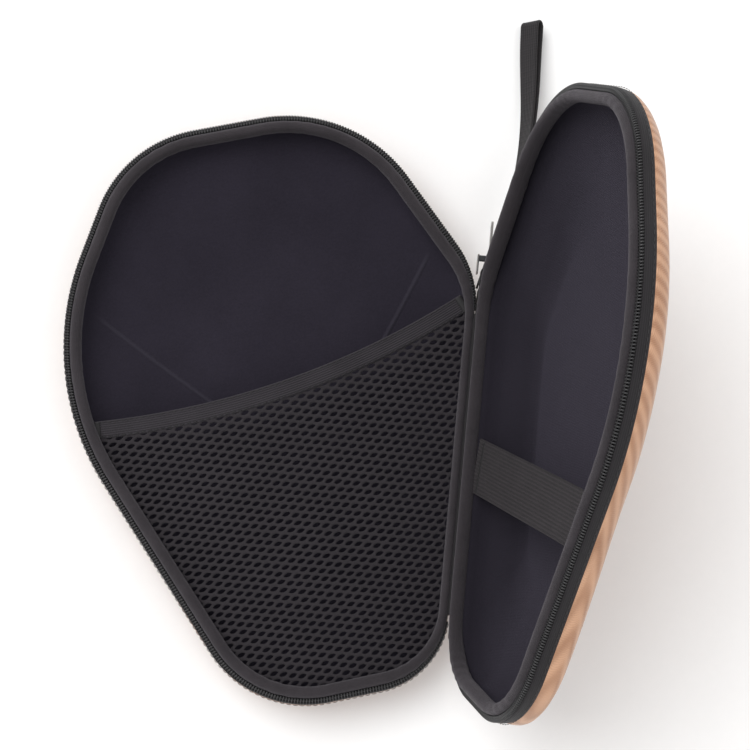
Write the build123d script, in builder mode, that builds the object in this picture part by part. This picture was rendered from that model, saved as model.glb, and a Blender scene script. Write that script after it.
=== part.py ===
from build123d import *
import os
from collections import namedtuple
from math import cos, radians, sin

# Table-tennis paddle case: two moulded foam halves, covered in coated cloth, joined by a cloth spine.
# Millimetres. The pocket half lies on its flat back at Z = 0, with its opening up. The hinge runs
# along +Y towards the wide end of the case, and the tray half is lifted from flat-open at +X.
# Places on a half are given as (across, along, depth): across from the half's hinge edge to its free
# edge, along the hinge from its middle, and depth from the rim plane down into the half.

# Whole case
half_depth = 27.5
tray_lift = 75.0
hinge_gap = 1.2
rest_centre = (81.0, 19.0)

# Outline of a half: (across, along, corner radius), clockwise from the upper end of the hinge edge
outline_corners = [
    (0, 88, 48),
    (65.5, 164, 68),
    (169, 133, 57),
    (197, 21.5, 120),
    (83, -123, 51),
    (0, -97, 38),
]
hinge_half_length = 69.0

# Shell wall, from outside in
skin_thickness = 0.8
foam_thickness = 2.8
lining_thickness = 0.8
shell_top = 5.3
band_depth = 7.0
dome_centre = (60.0, 18.0)
dome_levels = [
    (band_depth, 1.0),
    (10.5, 0.985),
    (13.8, 0.955),
    (16.4, 0.91),
    (21.5, 0.80),
    (25.6, 0.70),
    (half_depth, 0.62),
]

# Rim: padded roll, zip tape and zip chain
roll_radius = 2.5
roll_centre_depth = 2.65
roll_inset = 5.1
roll_hinge_inset = 3.4
chain_top = 0.15
chain_width = 2.3
chain_hinge_width = 0.6
tape_top = 2.3
zip_end_along = 83.0
zip_window_width = 30.0
mouth_reach = 700.0
inner_edge_inset = 7.7
inner_edge_hinge_inset = 6.0

# Net pocket of the pocket half; its hem follows a circle
hem_circle_centre = (245.7, 375.0)
hem_circle_radius = 380.0
hem_width = 8.0
hem_top = 2.9
hem_thickness = 2.2
net_top = 3.3
net_thickness = 1.6
hem_tack_length = 5.0
hem_tack_places = [(164.5, -0.3), (16.0, 67.3)]
hem_tack_turn = -25.0

# Elastic retaining band of the tray half
band_middle = (81.2, -20.4)
band_turn = -14.3
band_width = 25.0
band_top = 3.6
elastic_thickness = 1.3
tack_thickness = 0.5
tack_length = 3.0
band_tack_offsets = (-71.0, 56.7)
band_reach = 300.0

# Cloth spine around the hinge
strip_thickness = 0.7
strip_radius = 0.8
strip_flap = 13.0
lining_strip_thickness = 0.5
lining_strip_radius = 1.6
lining_strip_flap = 2.1

# Zip slider, parked at the upper end of the hinge
slider_tail = 88.0
slider_nose = 97.0
slider_tail_half_height = 2.4
slider_nose_half_height = 3.2
slider_plate_thickness = 0.7
slider_half_thickness = 2.3
slider_wedge_length = 3.2
slider_wedge_half_height = 0.9
arch_width = 1.8
arch_start = 89.5
arch_end = 94.5
arch_height = 2.5
arch_wall = 0.8
arch_bend = 1.6
slider_nose_cut = 0.8
slider_plate_bend = 0.7
wedge_bend = 0.5
wedge_gap = 0.4
end_tab_step = 0.2
end_tab_gap = 0.5
end_tab_overlap = 2.0
end_tab_thickness = 0.8
end_tab_root_height = 1.8
lower_tab_length = 11.0
lower_tab_height = 3.6

# Zip pull, hinged on a bar under the slider's arch
pull_bar_radius = 0.5
pull_bar_across = 3.15
pull_bar_along = 92.0
pull_inner_width = 2.6
pull_arm_width = 0.9
pull_thickness = 1.0
pull_arm_length = 5.0
pull_tongue_length = 18.0
pull_tongue_width = 5.4
pull_hole_radius = 1.1
pull_hole_offset = 6.0
pull_tongue_bend = 1.4
pull_tongue_overlap = 2.0

# Hand loop of flat webbing, and the webbing tab that holds it. The loop leaves its root on edge and
# turns towards flat. Stations are (reach, sideways, rise, half the space between the strands, turn).
loop_root_along = 84.0
loop_root_depth = 9.0
webbing_width = 10.0
webbing_thickness = 1.2
loop_stations = [
    (0.0, 0.0, 0.0, 0.65, 90.0),
    (14.0, 3.4, -1.0, 0.65, 88.0),
    (28.0, 8.0, -2.4, 0.65, 84.0),
    (42.0, 12.2, -3.9, 0.65, 78.0),
    (56.0, 15.2, -5.4, 0.66, 71.0),
    (72.0, 16.9, -7.1, 0.7, 63.0),
    (88.0, 17.3, -8.8, 0.9, 56.0),
    (104.0, 16.6, -10.4, 1.4, 47.0),
    (118.0, 15.7, -11.7, 1.9, 41.0),
    (131.0, 15.4, -12.6, 2.2, 38.0),
]
loop_fold_turns = (30.0, 60.0, 90.0, 120.0, 150.0)
loop_tab_start = 58.0
loop_tab_thickness = 0.8
tab_clearance = 0.9

hinge_x = rest_centre[0] + hinge_gap
hinge_y = -rest_centre[1]
lift = radians(tray_lift)

Half = namedtuple("Half", "name plane into")
Outline = namedtuple("Outline", "corners bends")
pocket = Half("pocket", Plane(origin=(hinge_x, hinge_y, half_depth), x_dir=(-1, 0, 0), z_dir=(0, 0, -1)), 1)
tray = Half(
    "tray",
    Plane(
        origin=(hinge_x, hinge_y, half_depth),
        x_dir=(cos(lift), 0, sin(lift)),
        z_dir=(-sin(lift), 0, cos(lift)),
    ),
    -1,
)
hinge_section = Plane(
    origin=(hinge_x, hinge_y + hinge_half_length, half_depth), x_dir=(1, 0, 0), z_dir=(0, -1, 0)
)
hinge_side = Plane(origin=(hinge_x, hinge_y, half_depth), x_dir=(0, 1, 0), z_dir=(1, 0, 0))


def level(half, depth):
    """The plane at a depth inside a half."""
    return half.plane.offset(half.into * depth)


def outline(spread=1.0, inset=0.0, hinge_inset=None):
    """The outline's corners and radii, scaled about the dome's centre and then moved inward."""
    centre = Vector(*dome_centre)
    points = [centre + (Vector(across, along) - centre) * spread for across, along, _ in outline_corners]
    insets = [inset] * (len(points) - 1) + [inset if hinge_inset is None else hinge_inset]
    moved = []
    radii = []
    for index, point in enumerate(points):
        before = (point - points[index - 1]).normalized()
        after = (points[(index + 1) % len(points)] - point).normalized()
        step = before * insets[index] - after * insets[index - 1]
        moved.append(point + step / before.cross(after).Z + Vector(hinge_gap, 0))
        radii.append(outline_corners[index][2] * spread - (insets[index] + insets[index - 1]) / 2)
    return Outline(moved, radii)


def dome(half, inset, top):
    """All that lies inside a surface under the skin, from a depth down to the half's back."""
    with BuildPart() as body:
        mouth = outline(inset=inset)
        with BuildSketch(level(half, top)):
            with BuildLine():
                FilletPolyline(mouth.corners, radius=mouth.bends, close=True)
            make_face()
        extrude(amount=half.into * (band_depth - top))
        for depth, spread in dome_levels:
            rise = inset * (depth - band_depth) / (half_depth - band_depth)
            section = outline(spread, inset)
            with BuildSketch(level(half, depth - rise)):
                with BuildLine():
                    FilletPolyline(section.corners, radius=section.bends, close=True)
                make_face()
        loft()
    return body.part


def rim_ring(half, inner_inset, hinge_inset, top, bottom, window_mode):
    """A band that follows the rim, outside or inside the stretch of the hinge edge with no zip."""
    outer = outline()
    inner = outline(inset=inner_inset, hinge_inset=hinge_inset)
    with BuildPart() as body:
        with BuildSketch(level(half, top)):
            with BuildLine():
                FilletPolyline(outer.corners, radius=outer.bends, close=True)
            make_face()
            with BuildLine():
                FilletPolyline(inner.corners, radius=inner.bends, close=True)
            make_face(mode=Mode.SUBTRACT)
            Rectangle(zip_window_width, 2 * zip_end_along, mode=window_mode)
        extrude(amount=half.into * (bottom - top))
    return body.part


def write(builder, name):
    """Label a finished piece and write it as its own file."""
    builder.part.label = name
    export_step(builder.part, f"parts/{name}.step")


os.makedirs("parts", exist_ok=True)
lining_inset = skin_thickness + foam_thickness
hollow_inset = lining_inset + lining_thickness
roll_line = outline(inset=roll_inset, hinge_inset=roll_hinge_inset)
inner_edge = outline(inset=inner_edge_inset, hinge_inset=inner_edge_hinge_inset)

for half in (pocket, tray):
    # Coated cloth skin, up to the zip tape, and up to the rim where the spine strip covers it
    outer_dome = dome(half, 0.0, band_depth - 1)
    skin_hollow = dome(half, skin_thickness, band_depth - 2)
    spine_edge = rim_ring(half, skin_thickness, skin_thickness, tape_top, band_depth, Mode.INTERSECT)
    with BuildPart() as skin:
        add(outer_dome)
        add(skin_hollow, mode=Mode.SUBTRACT)
        with BuildSketch(level(half, 0)):
            Rectangle(mouth_reach, mouth_reach)
        extrude(amount=half.into * band_depth, mode=Mode.SUBTRACT)
        add(spine_edge)
    write(skin, f"{half.name}_skin")

    # Moulded foam shell
    foam_outside = dome(half, skin_thickness, shell_top)
    foam_inside = dome(half, lining_inset, shell_top - 1)
    with BuildPart() as foam:
        add(foam_outside)
        add(foam_inside, mode=Mode.SUBTRACT)
    write(foam, f"{half.name}_foam_shell")

    # Cloth lining
    lining_outside = dome(half, lining_inset, shell_top)
    lining_inside = dome(half, hollow_inset, shell_top - 1)
    with BuildPart() as lining:
        add(lining_outside)
        add(lining_inside, mode=Mode.SUBTRACT)
    write(lining, f"{half.name}_lining")

    # Padded roll around the mouth
    with BuildSketch(level(half, roll_centre_depth)) as roll_shape:
        with BuildLine():
            FilletPolyline(roll_line.corners, radius=roll_line.bends, close=True)
        make_face()
    roll_path = roll_shape.sketch.face().outer_wire()
    with BuildPart() as rim_roll:
        with BuildSketch(Plane(origin=roll_path @ 0, z_dir=roll_path % 0)):
            Circle(roll_radius)
        sweep(path=roll_path)
    write(rim_roll, f"{half.name}_rim_roll")

    # Zip tape, sewn over the shell's edge
    tape_ring = rim_ring(half, skin_thickness, skin_thickness, tape_top, band_depth, Mode.SUBTRACT)
    with BuildPart() as zip_tape:
        add(tape_ring)
    write(zip_tape, f"{half.name}_zip_tape")

    # Zip chain along the tape's edge
    chain_ring = rim_ring(half, chain_width, chain_hinge_width, chain_top, tape_top, Mode.SUBTRACT)
    with BuildPart() as zip_chain:
        add(chain_ring)
    write(zip_chain, f"{half.name}_zip_chain")

# Net pocket, sewn in along the inner edge of the pocket half's roll
with BuildPart() as net_panel:
    with BuildSketch(level(pocket, net_top)):
        with BuildLine():
            FilletPolyline(inner_edge.corners, radius=inner_edge.bends, close=True)
        make_face()
        with Locations(hem_circle_centre):
            Circle(hem_circle_radius + hem_width, mode=Mode.SUBTRACT)
    extrude(amount=net_thickness)
write(net_panel, "net_pocket")

# Elastic hem along the net's mouth
with BuildPart() as net_hem:
    with BuildSketch(level(pocket, hem_top)):
        with BuildLine():
            FilletPolyline(inner_edge.corners, radius=inner_edge.bends, close=True)
        make_face()
        with Locations(hem_circle_centre):
            Circle(hem_circle_radius + hem_width, mode=Mode.INTERSECT)
            Circle(hem_circle_radius, mode=Mode.SUBTRACT)
    extrude(amount=hem_thickness)
write(net_hem, "net_pocket_hem")

# Bar tacks over the two ends of the hem
with BuildPart() as hem_tacks:
    with BuildSketch(level(pocket, hem_top - tack_thickness)):
        with Locations(*hem_tack_places):
            Rectangle(hem_tack_length, hem_width, rotation=hem_tack_turn)
    extrude(amount=tack_thickness)
write(hem_tacks, "net_hem_tacks")

# Elastic retaining band across the tray half
with BuildPart() as elastic_band:
    with BuildSketch(level(tray, band_top)):
        with BuildLine():
            FilletPolyline(inner_edge.corners, radius=inner_edge.bends, close=True)
        make_face()
        with Locations(band_middle):
            Rectangle(band_reach, band_width, rotation=band_turn, mode=Mode.INTERSECT)
    extrude(amount=-elastic_thickness)
write(elastic_band, "elastic_band")

# Bar tacks at the band's two ends
with BuildPart() as band_tacks:
    with BuildSketch(level(tray, band_top - tack_thickness)):
        with Locations(Location(Vector(*band_middle), band_turn)):
            with Locations(*[(offset, 0) for offset in band_tack_offsets]):
                Rectangle(tack_length, band_width)
    extrude(amount=-tack_thickness)
write(band_tacks, "elastic_band_tacks")


tray_across = Vector(cos(lift), sin(lift))
tray_depth = Vector(sin(lift), -cos(lift))

# Cloth spine strip, sewn to the outer wall of both halves
with BuildPart() as spine_strip:
    with BuildSketch(hinge_section):
        with BuildLine():
            Line((-strip_radius, -strip_flap), (-strip_radius, 0))
            CenterArc((0, 0), strip_radius, 180, tray_lift - 180)
            Line(tray_across * strip_radius, tray_across * strip_radius + tray_depth * strip_flap)
        trace(line_width=strip_thickness)
    extrude(amount=2 * hinge_half_length)
write(spine_strip, "spine_strip")

# Lining strip that closes the gap between the two rolls
with BuildPart() as spine_lining:
    with BuildSketch(hinge_section):
        with BuildLine():
            Line((-lining_strip_radius, -lining_strip_flap), (-lining_strip_radius, 0))
            CenterArc((0, 0), lining_strip_radius, 180, tray_lift - 180)
            Line(tray_across * lining_strip_radius, tray_across * lining_strip_radius + tray_depth * lining_strip_flap)
        trace(line_width=lining_strip_thickness)
    extrude(amount=2 * hinge_half_length)
write(spine_lining, "spine_lining")

# Cloth tabs that finish the zip at both ends of the hinge
with BuildPart() as upper_tab:
    with BuildSketch(hinge_side.offset(-end_tab_thickness / 2)):
        with BuildLine():
            Polyline(
                (hinge_half_length + end_tab_gap, -end_tab_root_height / 2),
                (slider_tail + end_tab_overlap, -slider_tail_half_height + end_tab_step),
                (slider_tail + end_tab_overlap, slider_tail_half_height - end_tab_step),
                (hinge_half_length + end_tab_gap, end_tab_root_height / 2),
                close=True,
            )
        make_face()
    extrude(amount=end_tab_thickness)
write(upper_tab, "zip_end_tab_upper")

with BuildPart() as lower_tab:
    with BuildSketch(hinge_side.offset(-end_tab_thickness / 2)):
        with BuildLine():
            Polyline(
                (-hinge_half_length - end_tab_gap, -end_tab_root_height / 2),
                (-hinge_half_length - lower_tab_length, -lower_tab_height / 2),
                (-hinge_half_length - lower_tab_length, lower_tab_height / 2),
                (-hinge_half_length - end_tab_gap, end_tab_root_height / 2),
                close=True,
            )
        make_face()
    extrude(amount=end_tab_thickness)
write(lower_tab, "zip_end_tab_lower")

# Zip slider: two heart-shaped plates, the wedge between them and the arch that holds the pull
arch_plane = Plane(
    origin=(hinge_x, hinge_y, half_depth + arch_width / 2), x_dir=(0, 1, 0), z_dir=(0, 0, -1)
)
with BuildPart() as slider:
    with BuildSketch(hinge_side.offset(-slider_half_thickness)) as slider_plate:
        with BuildLine():
            Polyline(
                (slider_tail, -slider_tail_half_height),
                (slider_nose - slider_wedge_length, -slider_nose_half_height),
                (slider_nose, -slider_nose_half_height + slider_nose_cut),
                (slider_nose, slider_nose_half_height - slider_nose_cut),
                (slider_nose - slider_wedge_length, slider_nose_half_height),
                (slider_tail, slider_tail_half_height),
                close=True,
            )
        make_face()
        fillet(slider_plate.vertices(), slider_plate_bend)
    extrude(amount=slider_plate_thickness)
    mirror(about=hinge_side)
    with BuildSketch(hinge_side.offset(-slider_half_thickness)):
        with Locations((slider_nose - slider_wedge_length / 2, 0)):
            RectangleRounded(slider_wedge_length - wedge_gap, 2 * slider_wedge_half_height, wedge_bend)
    extrude(amount=2 * slider_half_thickness)
    with BuildSketch(arch_plane) as arch_side:
        with BuildLine():
            Polyline(
                (arch_start, slider_half_thickness),
                (arch_start, slider_half_thickness + arch_height),
                (arch_end, slider_half_thickness + arch_height),
                (arch_end, slider_half_thickness),
                close=True,
            )
        make_face()
        fillet(arch_side.vertices().group_by(Axis.Y)[-1], arch_bend)
        with BuildLine():
            Polyline(
                (arch_start + arch_wall, slider_half_thickness),
                (arch_start + arch_wall, slider_half_thickness + arch_height - arch_wall),
                (arch_end - arch_wall, slider_half_thickness + arch_height - arch_wall),
                (arch_end - arch_wall, slider_half_thickness),
                close=True,
            )
        make_face(mode=Mode.SUBTRACT)
    extrude(amount=arch_width)
write(slider, "zip_slider")

# Zip pull: a bar under the arch, two arms and a tongue with a hole
pull_plane = hinge_side.offset(pull_bar_across)
tongue_middle = pull_bar_along + pull_arm_length - pull_tongue_overlap + pull_tongue_length / 2
with BuildPart() as pull:
    with BuildSketch(pull_plane.offset(-pull_thickness / 2)):
        with Locations((pull_bar_along + pull_arm_length / 2, 0)):
            Rectangle(pull_arm_length, pull_inner_width + 2 * pull_arm_width)
            Rectangle(pull_arm_length, pull_inner_width, mode=Mode.SUBTRACT)
        with Locations((tongue_middle, 0)):
            RectangleRounded(pull_tongue_length, pull_tongue_width, pull_tongue_bend)
        with Locations((tongue_middle + pull_hole_offset, 0)):
            Circle(pull_hole_radius, mode=Mode.SUBTRACT)
    extrude(amount=pull_thickness)
    pull_bar_start = pull_plane.from_local_coords((pull_bar_along, -pull_inner_width / 2 - pull_arm_width, 0))
    with BuildSketch(Plane(origin=pull_bar_start, z_dir=(0, 0, 1))):
        Circle(pull_bar_radius)
    extrude(amount=pull_inner_width + 2 * pull_arm_width)
write(pull, "zip_pull")

# Webbing tab that holds the hand loop, sewn to the spine strip
with BuildPart() as loop_tab:
    with BuildSketch(hinge_side.offset(-loop_tab_thickness / 2)):
        with Locations(((loop_tab_start + loop_root_along - tab_clearance) / 2, -loop_root_depth)):
            Rectangle(loop_root_along - tab_clearance - loop_tab_start, webbing_width)
    extrude(amount=loop_tab_thickness)
write(loop_tab, "hand_loop_tab")

# Hand loop: one length of webbing, out from its root, round the fold and back
loop_root = Vector(hinge_x, hinge_y + loop_root_along, half_depth - loop_root_depth)
loop_line = [loop_root + Vector(sideways, reach, rise) for reach, sideways, rise, _, _ in loop_stations]
outward = []
inward = []
for index, (_, _, _, half_gap, turn) in enumerate(loop_stations):
    ahead = loop_line[min(index + 1, len(loop_line) - 1)]
    behind = loop_line[max(index - 1, 0)]
    run = (ahead - behind).normalized()
    face = Vector(-sin(radians(turn)), 0, cos(radians(turn)))
    face = (face - run * face.dot(run)).normalized()
    outward.append(Plane(origin=loop_line[index] + face * half_gap, x_dir=face, z_dir=run))
    inward.append(Plane(origin=loop_line[index] - face * half_gap, x_dir=-face, z_dir=-run))
fold = []
for turn in loop_fold_turns:
    spoke = face * cos(radians(turn)) + run * sin(radians(turn))
    heading = run * cos(radians(turn)) - face * sin(radians(turn))
    fold.append(Plane(origin=loop_line[-1] + spoke * half_gap, x_dir=spoke, z_dir=heading))
with BuildPart() as hand_loop:
    for plane in outward + fold + inward[::-1]:
        with BuildSketch(plane):
            Rectangle(webbing_thickness, webbing_width)
    loft(ruled=True)
write(hand_loop, "hand_loop")
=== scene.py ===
import math

import bpy
import numpy as np
from mathutils import Matrix, Vector


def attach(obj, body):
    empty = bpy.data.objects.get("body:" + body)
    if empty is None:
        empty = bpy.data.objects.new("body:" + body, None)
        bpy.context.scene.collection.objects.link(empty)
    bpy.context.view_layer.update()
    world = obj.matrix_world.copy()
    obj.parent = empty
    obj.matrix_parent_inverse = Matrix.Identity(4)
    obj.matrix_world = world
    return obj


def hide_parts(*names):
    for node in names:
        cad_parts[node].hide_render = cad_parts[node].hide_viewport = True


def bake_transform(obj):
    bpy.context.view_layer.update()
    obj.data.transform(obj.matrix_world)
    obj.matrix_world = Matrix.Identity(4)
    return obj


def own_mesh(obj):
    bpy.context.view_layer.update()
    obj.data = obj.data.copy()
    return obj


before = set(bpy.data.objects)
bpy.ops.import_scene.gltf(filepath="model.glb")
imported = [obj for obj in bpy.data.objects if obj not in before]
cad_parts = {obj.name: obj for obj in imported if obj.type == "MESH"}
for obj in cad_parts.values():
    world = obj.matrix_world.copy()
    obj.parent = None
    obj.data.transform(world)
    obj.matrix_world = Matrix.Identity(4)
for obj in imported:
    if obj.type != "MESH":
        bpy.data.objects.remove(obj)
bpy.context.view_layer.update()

# Lengths in this file are millimetres, in the part's own frame; meshes are made in metres.
# A place on a half is (w, u, d): w from the hinge line across the half, u along the hinge from its
# middle, d from the rim plane down into the half. Negative d stands proud of the rim.
MM = 0.001
HINGE = np.array([82.2, -19.0, 27.5])  # the middle of the hinge line
LIFT = math.radians(75)  # the tray half's turn from lying open
GAP = 1.2  # from the hinge line to the edge of a half
DEPTH = 27.5  # of a half
WALL = 7.0  # depth of the upright wall under the rim; the dome starts there
# The outline of a half, (w, u, corner radius), clockwise from the upper end of the hinge edge
CORNERS = [(0, 88, 48), (65.5, 164, 68), (169, 133, 57), (197, 21.5, 120), (83, -123, 51), (0, -97, 38)]
DOME = np.array([60.0, 18.0])  # the dome's outlines shrink about this place
# (depth, share of the outline's size there)
LEVELS = [(7, 1.0), (10.5, 0.985), (13.8, 0.955), (16.4, 0.91), (21.5, 0.80), (25.6, 0.70), (27.5, 0.62)]
HINGE_EDGE = 15.0  # a place of the outline with a smaller w is on the hinge edge
ZIP_END = 71.5  # where on the hinge edge the zip ends, each way from the middle
HINGE_HALF = 69.0  # half the length of the spine
HEM_CENTRE = np.array([245.7, 375.0])  # the net's hem follows a circle
HEM_RADIUS = 380.0
HEM_WIDTH = 8.2
HEM_RIBS = 8
STRAP_WIDTH = 25.0
STRAP_RIBS = 15
WEBBING_RIB = 1.35  # pitch of the webbing's cross ribs


# ---------- outline and placing ----------

def outline(spread, inset, hinge):
    """Corners and their radii, grown about the dome's centre and moved in; hinge is that edge's own inset."""
    points = [DOME + (np.array(c[:2], float) - DOME) * spread for c in CORNERS]
    insets = [inset] * (len(points) - 1) + [inset if hinge is None else hinge]
    moved, radii = [], []
    for i, p in enumerate(points):
        before = (p - points[i - 1]) / np.linalg.norm(p - points[i - 1])
        after = points[(i + 1) % len(points)] - p
        after = after / np.linalg.norm(after)
        step = before * insets[i] - after * insets[i - 1]
        moved.append(p + step / (before[0] * after[1] - before[1] * after[0]) + np.array([GAP, 0.0]))
        radii.append(CORNERS[i][2] * spread - (insets[i] + insets[i - 1]) / 2)
    return moved, radii


def arcs(moved, radii):
    """Each corner's arc: its centre, its first spoke, its radius and its turn."""
    made = []
    for i, p in enumerate(moved):
        a = (p - moved[i - 1]) / np.linalg.norm(p - moved[i - 1])
        b = moved[(i + 1) % len(moved)] - p
        b = b / np.linalg.norm(b)
        turn = math.acos(max(-1.0, min(1.0, float(a @ b))))
        right = np.array([a[1], -a[0]])
        start = p - a * radii[i] * math.tan(turn / 2)
        made.append((start + right * radii[i], -right, radii[i], turn))
    return made


def loop(spread=1.0, inset=0.0, hinge=None, step=1.5):
    """Points round the outline. The same point number is the same place on every loop with that step."""
    base = arcs(*outline(1.0, 0.0, None))
    made = arcs(*outline(spread, inset, hinge))
    base_ends, ends = [], []
    for kind, spans in ((base, base_ends), (made, ends)):
        for centre, spoke, radius, turn in kind:
            spans.append([centre + radius * spin(spoke, -turn * k) for k in (0.0, 1.0)])
    points = []
    for i, (centre, spoke, radius, turn) in enumerate(made):
        after = (i + 1) % len(made)
        n = max(3, round(base[i][2] * turn / step))
        points += [centre + radius * spin(spoke, -turn * k / n) for k in range(n)]
        m = max(2, round(np.linalg.norm(base_ends[after][0] - base_ends[i][1]) / step))
        a, b = ends[i][1], ends[after][0]
        points += [a + (b - a) * k / m for k in range(m)]
    return np.array(points)


def spin(v, angle):
    """v turned by an angle, anticlockwise in (w, u)."""
    c, s = math.cos(angle), math.sin(angle)
    return np.array([v[0] * c - v[1] * s, v[0] * s + v[1] * c])


def place(half, wu, d):
    """Points of the frame, in millimetres, for (w, u) places at depths d of a half."""
    wu = np.asarray(wu, float)
    d = np.broadcast_to(np.asarray(d, float), wu.shape[:-1])
    w, u = wu[..., 0], wu[..., 1]
    if half == "pocket":
        return np.stack([HINGE[0] - w, HINGE[1] + u, HINGE[2] - d], -1)
    c, s = math.cos(LIFT), math.sin(LIFT)
    return np.stack([HINGE[0] + w * c + d * s, HINGE[1] + u, HINGE[2] + w * s - d * c], -1)


def hinge_share(points):
    """1 along the hinge edge, falling to 0 round its two corners."""
    t = np.clip((points[:, 0] - GAP - 0.4) / 9.0, 0, 1)
    return 1 - t * t * (3 - 2 * t)


def unzipped(base):
    """True for the outline's points on the stretch of the hinge edge that has no zip."""
    return (base[:, 0] < HINGE_EDGE) & (np.abs(base[:, 1]) < ZIP_END)


def zipped(base):
    """The numbers of the points that have zip, from the hinge's upper end round to its lower end."""
    count = int(np.sum(~unzipped(base)))
    start = int(np.argmax((base[:, 0] < HINGE_EDGE) & (base[:, 1] > ZIP_END)))
    return (np.arange(count) + start) % len(base)


def spread_at(depth):
    """The dome's size at a depth, smooth through its levels."""
    d = np.array([x[0] for x in LEVELS], float)
    s = np.array([x[1] for x in LEVELS], float)
    slope = np.gradient(s, d)
    slope[0] = 0.0
    i = int(np.clip(np.searchsorted(d, depth) - 1, 0, len(d) - 2))
    h = d[i + 1] - d[i]
    t = (depth - d[i]) / h
    return ((2 * t**3 - 3 * t**2 + 1) * s[i] + (t**3 - 2 * t**2 + t) * h * slope[i]
            + (3 * t**2 - 2 * t**3) * s[i + 1] + (t**3 - t**2) * h * slope[i + 1])


def inside(polygon, x, y):
    """True for each (x, y) inside the polygon."""
    hit = np.zeros(np.shape(x), bool)
    for (x1, y1), (x2, y2) in zip(polygon, np.roll(polygon, -1, axis=0)):
        crossed = ((y1 > y) != (y2 > y)) & (x < (x2 - x1) * (y - y1) / (y2 - y1 + 1e-12) + x1)
        hit ^= crossed
    return hit


def arc_length(points, closed=True):
    """The distance run at each point, with the way back to the first one where closed."""
    ends = np.vstack([points, points[:1]]) if closed else points
    return np.concatenate([[0], np.cumsum(np.linalg.norm(np.diff(ends, axis=0), axis=1))])


# ---------- meshes ----------

def mesh(name, points, faces, mat, uv=None, smooth=True):
    """A new piece from points in millimetres; uv has one pair for each face corner."""
    data = bpy.data.meshes.new(name)
    data.from_pydata((np.asarray(points) * MM).tolist(), [], [list(map(int, f)) for f in faces])
    if uv is not None:
        layer = data.uv_layers.new(name="UVMap")
        layer.data.foreach_set("uv", np.asarray(uv, np.float32).ravel())
    if smooth:
        data.polygons.foreach_set("use_smooth", [True] * len(data.polygons))
    data.materials.append(mat)
    data.update()
    piece = bpy.data.objects.new(name, data)
    bpy.context.scene.collection.objects.link(piece)
    return piece


def grid(rows, closed_u=False, closed_v=False, flip=False):
    """Faces and their corners' (row, column) for rows of points, each row as long as the others."""
    r, n = len(rows), len(rows[0])
    faces, corners = [], []
    for j in range(r if closed_v else r - 1):
        for i in range(n if closed_u else n - 1):
            quad = [(j, i), (j, i + 1), (j + 1, i + 1), (j + 1, i)]
            quad = quad[::-1] if flip else quad
            faces.append([(a % r) * n + (b % n) for a, b in quad])
            corners += quad
    return faces, corners


def band(name, rows, along, across, mat, closed_u=False, closed_v=False, flip=False):
    """A grid of points with a UV of millimetres along and across it."""
    faces, corners = grid(rows, closed_u, closed_v, flip)
    along = np.asarray(along)
    across = np.asarray(across)
    uv = [(along[b], across[a]) for a, b in corners]
    return mesh(name, np.concatenate(rows), faces, mat, uv)


def ring(name, half, profile, mat, hinge_profile=None, window=False, ripple=None, step=1.5, flip=False):
    """A closed profile of (inset, depth) carried round the rim; window leaves out the stretch with no zip."""
    hinge_profile = hinge_profile or profile
    base = loop(step=step)
    share = hinge_share(base)
    keep = zipped(base) if window else slice(None)
    rows = []
    for (inset, depth), (hinge_inset, hinge_depth) in zip(profile, hinge_profile):
        wu = loop(1.0, inset, hinge_inset, step)
        rows.append(place(half, wu, depth + (hinge_depth - depth) * share)[keep])
    if ripple is not None:
        rows = ripple(rows, base[keep])
    along = arc_length(base[keep], not window)
    across = arc_length(np.asarray(profile, float))
    piece = band(name, rows, along, across, mat, closed_u=not window, closed_v=True, flip=flip)
    if window:
        close_ends(piece, len(rows), len(rows[0]), flip)
    return piece


def close_ends(piece, r, n, flip=False):
    """Caps both ends of a piece made from a grid of r rows of n points."""
    data = piece.data
    uv = np.zeros(len(data.loops) * 2, np.float32)
    data.uv_layers[0].data.foreach_get("uv", uv)
    points = [v.co.copy() for v in data.vertices]
    faces = [list(p.vertices) for p in data.polygons]
    first = [j * n for j in range(r)]
    last = [j * n + n - 1 for j in range(r)]
    caps = [first if flip else first[::-1], last[::-1] if flip else last]
    extra = [uv[:2]] * (2 * r)
    name, mat = data.name, data.materials[0]
    new = bpy.data.meshes.new(name)
    new.from_pydata(points, [], faces + caps)
    layer = new.uv_layers.new(name="UVMap")
    layer.data.foreach_set("uv", np.concatenate([uv, np.ravel(extra)]).astype(np.float32))
    new.polygons.foreach_set("use_smooth", [True] * len(new.polygons))
    new.materials.append(mat)
    piece.data = new


def tubes(name, paths, radius, mat, sides=6, taper=0.55):
    """Many short round threads as one mesh. Each path is a list of points; its ends close to a point."""
    points, faces = [], []
    for path in paths:
        path = np.asarray(path, float)
        run = np.gradient(path, axis=0)
        run /= np.linalg.norm(run, axis=1)[:, None]
        side = np.cross(run, [0.31, 0.23, 0.92])  # a direction no thread of the case has
        side /= np.linalg.norm(side, axis=1)[:, None]
        other = np.cross(run, side)
        size = np.full(len(path), radius)
        size[0] = size[-1] = radius * taper
        start = len(points)
        for k in range(len(path)):
            for a in range(sides):
                f = 2 * math.pi * a / sides
                points.append(path[k] + size[k] * (math.cos(f) * side[k] + math.sin(f) * other[k]))
        for k in range(len(path) - 1):
            for a in range(sides):
                b = (a + 1) % sides
                faces.append([start + k * sides + a, start + k * sides + b,
                              start + (k + 1) * sides + b, start + (k + 1) * sides + a])
        faces.append([start + a for a in range(sides)][::-1])
        faces.append([start + (len(path) - 1) * sides + a for a in range(sides)])
    return mesh(name, points, faces, mat)


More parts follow.
